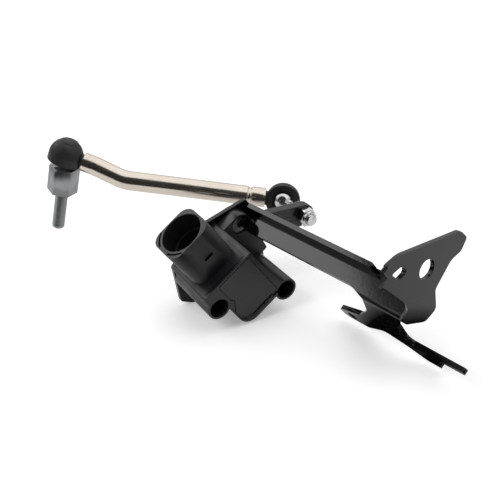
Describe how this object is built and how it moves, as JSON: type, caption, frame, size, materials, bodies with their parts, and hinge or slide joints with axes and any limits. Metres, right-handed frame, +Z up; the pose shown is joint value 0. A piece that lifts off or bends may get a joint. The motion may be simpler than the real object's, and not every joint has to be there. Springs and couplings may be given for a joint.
{
  "type": "headlight level sensor",
  "caption": "Rotary angle sensor on a folded sheet bracket, its lever joined through ball sockets and a bent link rod to a threaded stud.",
  "frame": {"origin": "centre of the bolt hole in the bracket's outer plate, on the plate's outer face", "axes": "+Y along the bolt hole, towards the sensor; +Z up as the part lies in the picture; +X to the right of +Y"},
  "size_m": [0.095, 0.2118, 0.0563],
  "materials": {
    "black_coated_sheet": "gloss",
    "black_nylon": "fine moulded texture",
    "black_nylon_cover": "satin",
    "sealant": "wet gloss",
    "green_laminate": "solder mask",
    "epoxy_chip": "matte",
    "tinned_brass": "tinned",
    "zinc_plated_steel": "zinc plated",
    "bright_steel": "bright zinc",
    "sintered_bronze": "oiled",
    "seal_rubber": "matte",
    "ferrite": "matte",
    "black_coated_lever": "satin",
    "acetal_liner": "smooth",
    "black_acetal": "satin",
    "stainless_tube": "drawn, polished",
    "zinc_plated_stud": "dull zinc"
  },
  "bodies": {
    "sensor": {"mounting_bracket": "black_coated_sheet", "sensor_housing": "black_nylon", "rear_cover": "black_nylon_cover", "sealing_bead": "sealant", "circuit_board": "green_laminate", "sensing_chip": "epoxy_chip", "shaft_bush": "sintered_bronze", "shaft_seal": "seal_rubber", "terminal_1": "tinned_brass", "terminal_2": "tinned_brass", "terminal_3": "tinned_brass", "terminal_4": "tinned_brass", "boss_screw_1": "zinc_plated_steel", "boss_screw_2": "zinc_plated_steel", "boss_screw_3": "zinc_plated_steel", "plate_nut_1": "zinc_plated_steel", "plate_nut_2": "zinc_plated_steel", "plate_nut_3": "zinc_plated_steel"},
    "lever": {"rotor_shaft": "zinc_plated_steel", "rotor_magnet": "ferrite", "lever_arm": "black_coated_lever", "hub_nut": "zinc_plated_steel", "lever_ball_stud": "bright_steel", "lock_nut": "bright_steel"},
    "near_liner": {"lever_side_liner": "acetal_liner"},
    "link": {"link_rod": "stainless_tube", "lever_side_socket": "black_acetal", "axle_side_socket": "black_acetal", "dust_ring": "seal_rubber"},
    "far_liner": {"axle_side_liner": "acetal_liner"},
    "stud": {"axle_ball_stud": "zinc_plated_stud"}
  },
  "joints": [
    {"name": "lever_swing", "type": "hinge", "parent": "sensor", "child": "lever", "pos_m": [-0.03797, 0.05458, -0.01423], "axis": [0.1096, 0.9901, 0.0872], "range_deg": [-40, 40]},
    {"name": "near_ball_spin", "type": "hinge", "parent": "lever", "child": "near_liner", "pos_m": [0.01563, 0.09994, -0.00831], "axis": [-0.1096, -0.9901, -0.0872], "range_deg": [-50, 50]},
    {"name": "near_ball_tilt", "type": "hinge", "parent": "near_liner", "child": "link", "pos_m": [0.01563, 0.09994, -0.00831], "axis": [-0.1068, 0.0989, -0.9893], "range_deg": [-35, 1]},
    {"name": "far_ball_tilt", "type": "hinge", "parent": "link", "child": "far_liner", "pos_m": [-0.05981, 0.16979, 0.01149], "axis": [0.6986, 0.7116, 0.0748], "range_deg": [-7, 25]},
    {"name": "far_ball_spin", "type": "hinge", "parent": "far_liner", "child": "stud", "pos_m": [-0.05981, 0.16979, 0.01149], "axis": [-0.1102, 0.2103, -0.9714], "continuous": true}
  ]
}
